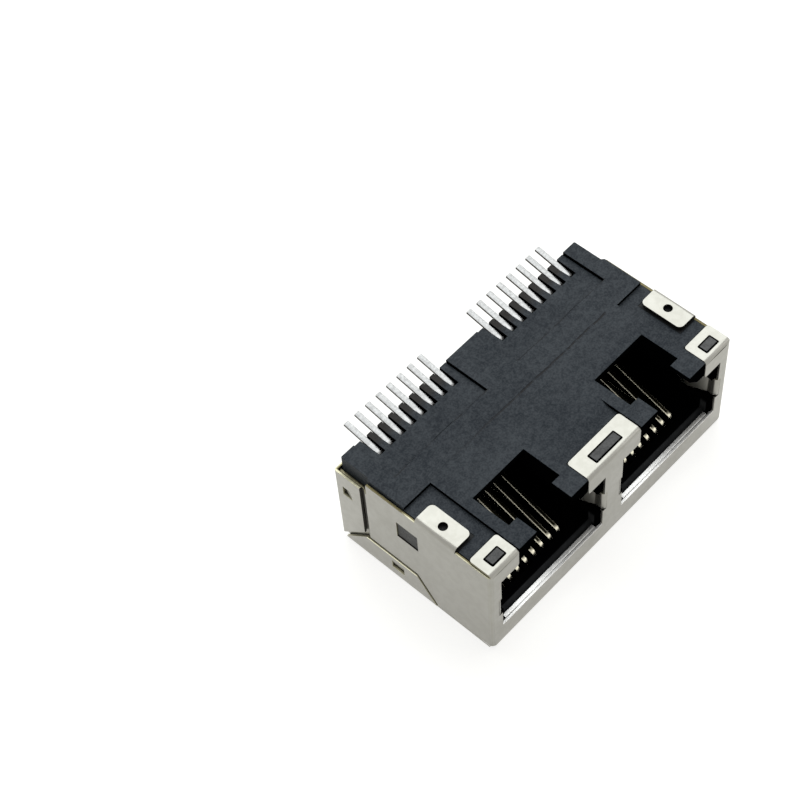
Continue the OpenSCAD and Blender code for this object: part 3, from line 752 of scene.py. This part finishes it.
LIP_Y = (-8.2, -8.0)           # the lips lie in front of it
LIP_Z = (4.0, 5.0)             # and under it
FLAP_FACE_X = (15.25, 15.27)   # outer faces of the side flaps
FLAP_HIGHLIGHT_Z = (2.85, 2.88)          # a painted highlight runs along their upper edge from here
FLAP_HIGHLIGHT_TOP_Z = (3.02, 3.05)      # to here
FLAP_HIGHLIGHT_Y = (4.6, 4.7)            # in front of this
RIM_MIDDLE_X = (15.06, 15.11)  # the upper rims are bright outside it
RIM_MIDDLE_Y = (7.55, 7.6)     # and behind it
RIM_SHADE_Y = (-0.6, 0.3)           # the side walls' upper rims get painted shade from here
RIM_SHADE_END_Y = (4.3, 4.5)        # to here
RIGHT_WALL_X = (14.8, 14.9)    # and all along the right wall
UPPER_RIM_Z = (10.0, 10.2)     # only rims over it get the painted shade


def plated_sheet():
    """Satin nickel plating: faint stains, a few darker specks, slightly uneven sheet.

    The lips' upward faces and the side flaps' upper edges get painted highlights, the latter in pale alloy.
    """
    sizes = bpy.context.scene.jack_sheet
    material, tree, shader, place = new_material("plated_sheet")
    stains = effect(tree, "soft_clouds", Vector=place, Size=5.0 * MM, Softness=0.25)
    specks = effect(tree, "soft_clouds", Vector=place, Size=0.7 * MM, Softness=0.08)
    tone = maths(tree, "ADD", maths(tree, "MULTIPLY", stains, 0.7), maths(tree, "MULTIPLY", specks, 0.3))
    plate = ramp(tree, tone, sizes.stain, sizes.color)
    x, y, z = axes(tree, place)
    up = axes(tree, add(tree, "TexCoord").outputs["Normal"])["Z"]
    # Painted highlight on the lips' upward faces.
    lips = product(tree, spread(tree, up, 0.2, 0.6), before(tree, y, LIP_Y), before(tree, z, LIP_Z))
    plate = blend(tree, lips, plate, sizes.lip_highlight)
    # Painted highlight: a pale alloy-coloured strip along the side flaps' upper edges.
    flap_edge_highlight = product(
        tree, past(tree, maths(tree, "ABSOLUTE", x), FLAP_FACE_X), past(tree, z, FLAP_HIGHLIGHT_Z),
        before(tree, z, FLAP_HIGHLIGHT_TOP_Z), before(tree, y, FLAP_HIGHLIGHT_Y))
    tree.links.new(blend(tree, flap_edge_highlight, plate, times(sizes.cut, 1.9)), shader.inputs["Base Color"])
    rough = maths(tree, "ADD", spread(tree, tone, 0.0, 1.0, 0.4, 0.32), maths(tree, "MULTIPLY", lips, 0.08))
    tree.links.new(rough, shader.inputs["Roughness"])
    shader.inputs["Metallic"].default_value = 1.0
    wave = add(tree, "TexNoise", Vector=place, Scale=220.0, Detail=1.0)
    grain = effect(tree, "fine_grain", Vector=place, Size=0.12 * MM)
    height = maths(tree, "ADD", maths(tree, "MULTIPLY", wave.outputs["Fac"], 20.0), grain)
    bump(tree, shader, height, 0.0012 * MM)
    return material


def cut_rim():
    """Bare alloy of the cut rims: pale yellow with darker shear marks.

    The inner half of the upper rims gets painted shade. The side walls' upper rims get it all over behind
    the solder tabs, and on the right along their whole length.
    """
    sizes = bpy.context.scene.jack_sheet
    material, tree, shader, place = new_material("cut_rim")
    marks = effect(tree, "soft_clouds", Vector=place, Size=0.5 * MM, Softness=0.2)
    bright = ramp(tree, marks, times(sizes.cut, 0.75), sizes.cut)
    x, y, z = axes(tree, place)
    # Painted shade on the inner half of the upper rims, behind the solder tabs and along the right wall.
    outer = largest(
        tree, past(tree, maths(tree, "ABSOLUTE", x), RIM_MIDDLE_X), past(tree, y, RIM_MIDDLE_Y))
    rear = product(tree, past(tree, y, RIM_SHADE_Y), before(tree, y, RIM_SHADE_END_Y))
    shadowed = largest(tree, maths(tree, "SUBTRACT", 1.0, outer), rear, past(tree, x, RIGHT_WALL_X))
    shadowed = product(tree, shadowed, past(tree, z, UPPER_RIM_Z))
    tree.links.new(blend(tree, shadowed, bright, sizes.rim_shade_color), shader.inputs["Base Color"])
    tree.links.new(spread(tree, marks, 0.0, 1.0, 0.5, 0.4), shader.inputs["Roughness"])
    shader.inputs["Metallic"].default_value = 1.0
    bump(tree, shader, effect(tree, "fine_grain", Vector=place, Size=0.08 * MM), 0.002 * MM)
    return material


def shaded_rim():
    """Rims of the tabs, windows, slits and rear flaps, dark all over: painted shade."""
    sizes = bpy.context.scene.jack_sheet
    material, tree, shader, place = new_material("shaded_rim")
    marks = effect(tree, "soft_clouds", Vector=place, Size=0.4 * MM, Softness=0.2)
    tree.links.new(ramp(tree, marks, sizes.shade, times(sizes.shade, 1.6)), shader.inputs["Base Color"])
    shader.inputs["Roughness"].default_value = 0.5
    shader.inputs["Metallic"].default_value = 1.0
    bump(tree, shader, effect(tree, "fine_grain", Vector=place, Size=0.08 * MM), 0.002 * MM)
    return material


# Materials of the mouldings


SILL_Y = -8.4                  # middle of the sill behind the lips
SILL_HALF = (0.28, 0.36)       # half its width
SILL_Z = (3.6, 4.0)            # it lies under this
TEETH_Y = (5.6, 6.4)           # the carriers' teeth lie behind it
TEETH_Z = (11.65, 11.8)        # under this
TEETH_X = (4.7, 4.9)           # and this far from the port's middle
JOINT_Y = 0.37                 # the mould's joint across the housing
JOINT_X = (-9.0, -1.0)         # it grows stronger here
JOINT_END_X = (10.3, 10.6)     # and ends here
SEAM_Y = 2.72                  # front edge of the carriers
SEAM_X = (5.6, 5.8)            # half its length from the port's middle
GATE = (-12.9, 5.2, 11.9)      # middle of the ring that the mould's gate left
GATE_R = 0.15                  # and its radius


def painted_shade_plastic():
    """The plastic inside the ports and on steep walls: painted shade, very dark, with a paler band, left lit,
    on the sill behind the lips.
    """
    sizes = bpy.context.scene.jack_moulding
    material, tree, shader, place = new_material("painted_shade_plastic")
    _, y, z = axes(tree, place)
    clouds = effect(tree, "soft_clouds", Vector=place, Size=0.8 * MM, Softness=0.25)
    # Painted shade: very dark plastic inside the ports and on steep walls.
    black = ramp(tree, clouds, times(sizes.inside, 0.7), sizes.inside)
    grey = ramp(tree, clouds, times(sizes.sill, 0.6), sizes.sill)
    off = maths(tree, "ABSOLUTE", maths(tree, "SUBTRACT", y, SILL_Y * MM))
    sill = product(tree, before(tree, off, SILL_HALF), before(tree, z, SILL_Z))
    tree.links.new(blend(tree, sill, black, grey), shader.inputs["Base Color"])
    shader.inputs["Roughness"].default_value = 0.6
    shader.inputs["Specular IOR Level"].default_value = 0.0
    bump(tree, shader, effect(tree, "fine_grain", Vector=place, Size=0.11 * MM), 0.006 * MM)
    return material


def clouded(tree, place, dark, pale):
    """Colour of a filled plastic with clouds, pale flecks and rubbed marks, with its tone and the marks."""
    clouds = effect(tree, "soft_clouds", Vector=place, Size=4.5 * MM, Softness=0.13)
    mottle = effect(tree, "soft_clouds", Vector=place, Size=0.6 * MM, Softness=0.08)
    flecks = effect(tree, "soft_clouds", Vector=place, Size=0.16 * MM, Softness=0.06)
    tone = maths(tree, "ADD", maths(tree, "MULTIPLY", clouds, 0.3), maths(tree, "MULTIPLY", mottle, 0.32))
    tone = maths(tree, "ADD", tone, maths(tree, "MULTIPLY", flecks, 0.46))
    marks = effect(tree, "rubbed_marks", Vector=place, Size=1.1 * MM, Width=0.03, Share=0.5)
    scuff = bpy.context.scene.jack_moulding.scuff
    base = blend(tree, maths(tree, "MULTIPLY", marks, 0.35), ramp(tree, tone, dark, pale), scuff)
    return base, tone, marks


def satin(tree, shader, place, base, tone, marks, lines=0.0):
    """Gives a filled plastic its colour, sheen and grain, raised at the marks and sunk at the lines."""
    tree.links.new(base, shader.inputs["Base Color"])
    tree.links.new(spread(tree, tone, 0.0, 1.0, 0.62, 0.48), shader.inputs["Roughness"])
    shader.inputs["Specular IOR Level"].default_value = 0.2
    grain = effect(tree, "fine_grain", Vector=place, Size=0.11 * MM)
    height = maths(tree, "ADD", grain, maths(tree, "MULTIPLY", marks, 0.5))
    height = maths(tree, "SUBTRACT", height, maths(tree, "MULTIPLY", lines, 3.0))
    bump(tree, shader, height, 0.014 * MM)


def stud_plastic():
    """Paler plastic of the studs in the shield's windows."""
    sizes = bpy.context.scene.jack_moulding
    material, tree, shader, place = new_material("stud_plastic")
    base, tone, marks = clouded(tree, place, times(sizes.studs, 0.7), times(sizes.studs, 1.2))
    satin(tree, shader, place, base, tone, marks)
    return material


def moulded_plastic(name):
    """Clouded dark grey plastic, rubbed where it is handled.

    There are a line across the mould's joint, a dark line of painted shade in the joint along each carrier's
    front, a gate mark, a painted shadow round the tabs and, behind, the darker teeth between the leads.
    """
    sizes = bpy.context.scene.jack_moulding
    material, tree, shader, place = new_material(name)
    x, y, z = axes(tree, place)
    base, tone, marks = clouded(tree, place, sizes.color, sizes.mottle)
    from_port = maths(
        tree, "ABSOLUTE", maths(tree, "SUBTRACT", maths(tree, "ABSOLUTE", x), PORT_X * MM))
    teeth = product(
        tree, past(tree, y, TEETH_Y), before(tree, z, TEETH_Z), before(tree, from_port, TEETH_X))
    base = blend(tree, teeth, base, sizes.teeth)
    joint = effect(
        tree, "fine_line", Vector=place, Coordinate=y, Place=JOINT_Y * MM, Width=0.2 * MM)
    joint = product(tree, joint, past(tree, x, JOINT_X, 0.15), before(tree, x, JOINT_END_X))
    # Painted shade: a dark line in the joint along each carrier's front edge, under the housing's step.
    joint_shade = effect(tree, "fine_line", Vector=place, Coordinate=y, Place=SEAM_Y * MM, Width=0.2 * MM)
    joint_shade = product(tree, joint_shade, before(tree, from_port, SEAM_X, 0.8))
    gate = add(tree, "VectorMath", operation="DISTANCE")
    tree.links.new(place, gate.inputs[0])
    gate.inputs[1].default_value = times(GATE, MM)
    off = maths(tree, "ABSOLUTE", maths(tree, "SUBTRACT", gate.outputs["Value"], GATE_R * MM))
    ring = spread(tree, off, 0.0, 0.06 * MM, 0.5, 0.0)
    # The mould line, the gate ring, the painted shade in the carriers' joints and the painted shadow round
    # the tabs take the ports' dark colour.
    lines = largest(tree, joint, joint_shade, ring, effect(tree, "tab_shadow", Vector=place, Reach=0.15 * MM))
    base = blend(tree, lines, base, sizes.inside)
    satin(tree, shader, place, base, tone, marks, lines)
    return material


# Material of the contacts


GLINT_Y = (-5.6, -4.2)         # the right edges' painted glint is fainter behind it
TURN_Y = (-6.55, -6.3)         # the front turns lie in front of it
LEAD_Y = (4.4, 4.8)            # the leads lie behind it
LEAD_ROOT_Y = (5.0, 6.6)       # and their roots, with a painted highlight, in front of this


def contact_plating():
    """Dark gold springs, a painted reflection of the dark port, with painted glints on edges and front turns;
    grey tin leads.

    The point attribute `across` tells the edges from the middle. The strip's sides are dark: painted shade.
    """
    sizes = bpy.context.scene.jack_contacts
    material, tree, shader, place = new_material("contact_plating")
    y = axes(tree, place)["Y"]
    across = add(tree, "Attribute", attribute_name="across").outputs["Fac"]
    # Painted shade on the strip's sides.
    side = spread(tree, maths(tree, "ABSOLUTE", across), 0.95, 0.995)
    # Painted glints along the springs' edges and on their front turns.
    left = spread(tree, across, -0.68, -0.42, 1.0, 0.0)
    right = product(tree, spread(tree, across, 0.6, 0.8), past(tree, y, GLINT_Y, 0.8, 0.1))
    glint_mask = largest(tree, left, right, before(tree, y, TURN_Y))
    glint_mask = product(tree, glint_mask, maths(tree, "SUBTRACT", 1.0, maths(tree, "MULTIPLY", side, 0.85)))
    gold = blend(tree, glint_mask, sizes.gold, sizes.painted_glint)
    tone = effect(tree, "soft_clouds", Vector=place, Size=0.22 * MM, Softness=0.2)
    tin = ramp(tree, tone, times(sizes.tin, 0.72), times(sizes.tin, 1.15))
    # Painted highlight at the leads' roots.
    tin = blend(tree, before(tree, y, LEAD_ROOT_Y, 0.6), tin, times(sizes.tin, 1.7))
    # Painted shade on the leads' sides.
    tin = blend(tree, side, tin, sizes.gold)
    lead = past(tree, y, LEAD_Y)
    tree.links.new(blend(tree, lead, gold, tin), shader.inputs["Base Color"])
    tree.links.new(spread(tree, lead, 0.0, 1.0, 0.34, 0.36), shader.inputs["Roughness"])
    shader.inputs["Metallic"].default_value = 1.0
    bump(tree, shader, effect(tree, "fine_grain", Vector=place, Size=0.12 * MM), 0.0015 * MM)
    return material


# Studio


def seen_plainly(tree):
    """1 for rays from the camera, also by way of gloss or glass, and 0 for those that gather light."""
    rays = add(tree, "LightPath").outputs
    return largest(tree, rays["Is Camera Ray"], rays["Is Glossy Ray"], rays["Is Transmission Ray"])


def floor(sizes):
    """Level grid at height 0, finer in the middle.

    The point (i, j) lies at (s |s|, t |t|) times the half width, with s and t from -1 to 1.
    """
    n = 2 * sizes.rings + 1
    s = np.linspace(-1.0, 1.0, n)
    x, y = np.meshgrid(s * np.abs(s) * sizes.floor, s * np.abs(s) * sizes.floor, indexing="ij")
    points = np.stack([x, y, np.zeros_like(x)], -1).reshape(-1, 3)
    i, j = np.meshgrid(np.arange(n - 1), np.arange(n - 1), indexing="ij")
    a = i * n + j
    faces = np.stack([a, a + n, a + n + 1, a + 1], -1).reshape(-1, 4)
    mesh = bpy.data.meshes.new("floor")
    mesh.from_pydata(points, [], faces)
    material = bpy.data.materials.new("white_ground")
    material.use_nodes = True
    tree = material.node_tree
    tree.nodes.clear()
    clouds = add(tree, "TexNoise", Vector=add(tree, "TexCoord").outputs["Object"], Scale=30.0, Detail=2.0)
    paper = ramp(tree, clouds.outputs["Fac"], (0.505, 0.495, 0.458), (0.525, 0.515, 0.478))
    plain = add(tree, "BsdfDiffuse", Color=paper)
    glow = add(tree, "Emission", Strength=maths(tree, "MULTIPLY", seen_plainly(tree), sizes.glow))
    both = add(tree, "AddShader")
    tree.links.new(plain.outputs[0], both.inputs[0])
    tree.links.new(glow.outputs[0], both.inputs[1])
    add(tree, "OutputMaterial", Surface=both.outputs[0]).is_active_output = True
    mesh.materials.append(material)
    piece = bpy.data.objects.new("floor", mesh)
    bpy.context.scene.collection.objects.link(piece)


def lamp(name, place, size, power, color):
    """Square area lamp that faces the part."""
    light = bpy.data.lights.new(name, "AREA")
    light.size = size
    light.energy = power
    light.color = color
    standing = bpy.data.objects.new(name, light)
    standing.location = place
    standing.rotation_euler = (-standing.location).to_track_quat("-Z", "Y").to_euler()
    bpy.context.scene.collection.objects.link(standing)


def surroundings():
    """White for the camera and in reflections, a softer grey as light."""
    world = bpy.data.worlds.new("surroundings")
    world.use_nodes = True
    bpy.context.scene.world = world
    tree = world.node_tree
    tree.nodes.clear()
    strength = spread(tree, seen_plainly(tree), 0.0, 1.0, 0.3, 1.0)
    back = add(tree, "Background", Color=(1.0, 1.0, 1.0, 1.0), Strength=strength)
    add(tree, "OutputWorld", Surface=back.outputs[0]).is_active_output = True


def camera(sizes):
    """The camera at the photograph's viewing angle."""
    made = bpy.data.cameras.new("camera")
    made.lens = sizes.lens
    made.sensor_width = 36.0
    made.clip_start = 0.01
    made.clip_end = 10.0
    standing = bpy.data.objects.new("camera", made)
    standing.location = sizes.place
    standing.rotation_euler = sizes.turn
    bpy.context.scene.collection.objects.link(standing)
    bpy.context.scene.camera = standing


# Operators


class JACK_OT_studio(Operator):
    """Makes the floor, the lamps, the white surroundings and the camera"""

    bl_idname = "jack.studio"
    bl_label = "Studio"

    def execute(self, context):
        sizes = context.scene.jack_studio
        floor(sizes)
        lamp("overhead", (0.24, 0.26, 0.52), 0.72, sizes.overhead, (0.94, 0.98, 1.0))
        lamp("right_front", (0.5, -0.42, 0.34), 0.4, sizes.side, (1.0, 1.0, 1.0))
        surroundings()
        camera(sizes)
        context.scene.view_settings.view_transform = "Standard"
        return {"FINISHED"}


class JACK_OT_shield(Operator):
    """Stands a rounded and plated sheet in for the shield"""

    bl_idname = "jack.shield"
    bl_label = "Shield"

    def execute(self, context):
        sizes = context.scene.jack_sheet
        softened(
            "shield", "shield_sheet", sizes.rim, [plated_sheet(), cut_rim(), shaded_rim()],
            cut_faces(sizes.sheet))
        return {"FINISHED"}


class JACK_OT_mouldings(Operator):
    """Stands rounded mouldings in for the housing and the two carriers"""

    bl_idname = "jack.mouldings"
    bl_label = "Mouldings"

    def execute(self, context):
        sizes = context.scene.jack_moulding
        # Material of painted shade for the steep and inner faces and the studs' borders.
        inner = painted_shade_plastic()
        softened(
            "housing", "housing_moulding", sizes.edge,
            [moulded_plastic("housing_plastic"), stud_plastic(), inner], moulded_faces, sizes.gap)
        plastic = moulded_plastic("carrier_plastic")
        for port in PORTS:
            softened(
                "port_%d_carrier" % port, "carrier_moulding_%d" % port, 0.7 * sizes.edge,
                [plastic, plastic, inner], moulded_faces)
        return {"FINISHED"}


class JACK_OT_contacts(Operator):
    """Makes the sixteen contact strips, from the spring's free end to the solder lead's toe"""

    bl_idname = "jack.contacts"
    bl_label = "Contacts"

    def execute(self, context):
        sizes = context.scene.jack_contacts
        material = contact_plating()
        across_ports = np.array([1.0, 0.0, 0.0])
        for port in PORTS:
            for k in CONTACTS:
                node = "contact_%d_%d" % (port, k)
                path, half_w, half_t = contact_path(sizes, port, k)
                points, faces, across = swept_strip(path, across_ports, half_w, half_t, sizes.corner)
                piece = mesh_piece(
                    "contact_strip_%d_%d" % (port, k), points, faces, material, across)
                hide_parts(node)
        return {"FINISHED"}


class JACK_PT_panel(Panel):
    """Lists the sizes and the steps in the 3D view's sidebar"""

    bl_label = "Board jack"
    bl_idname = "JACK_PT_panel"
    bl_space_type = "VIEW_3D"
    bl_region_type = "UI"
    bl_category = "Board jack"

    def draw(self, context):
        for step, (sizes, held) in zip(STEPS, SIZES.items()):
            self.layout.operator(step.bl_idname)
            column = self.layout.column()
            for name in sizes.__annotations__:
                column.prop(getattr(context.scene, held), name)


STEPS = (JACK_OT_studio, JACK_OT_shield, JACK_OT_mouldings, JACK_OT_contacts)
SIZES = {
    StudioSizes: "jack_studio",
    SheetSizes: "jack_sheet",
    MouldingSizes: "jack_moulding",
    ContactSizes: "jack_contacts",
}


def register():
    """Registers the classes and hangs the property groups on the scene."""
    for made in (*SIZES, *STEPS, JACK_PT_panel):
        bpy.utils.register_class(made)
    for sizes, name in SIZES.items():
        setattr(bpy.types.Scene, name, PointerProperty(type=sizes))


def unregister():
    """Takes the property groups and classes away again."""
    for name in SIZES.values():
        delattr(bpy.types.Scene, name)
    for made in reversed((*SIZES, *STEPS, JACK_PT_panel)):
        bpy.utils.unregister_class(made)


def main():
    register()
    bpy.ops.jack.studio()
    bpy.ops.jack.shield()
    bpy.ops.jack.mouldings()
    bpy.ops.jack.contacts()


if __name__ == "__main__":
    main()
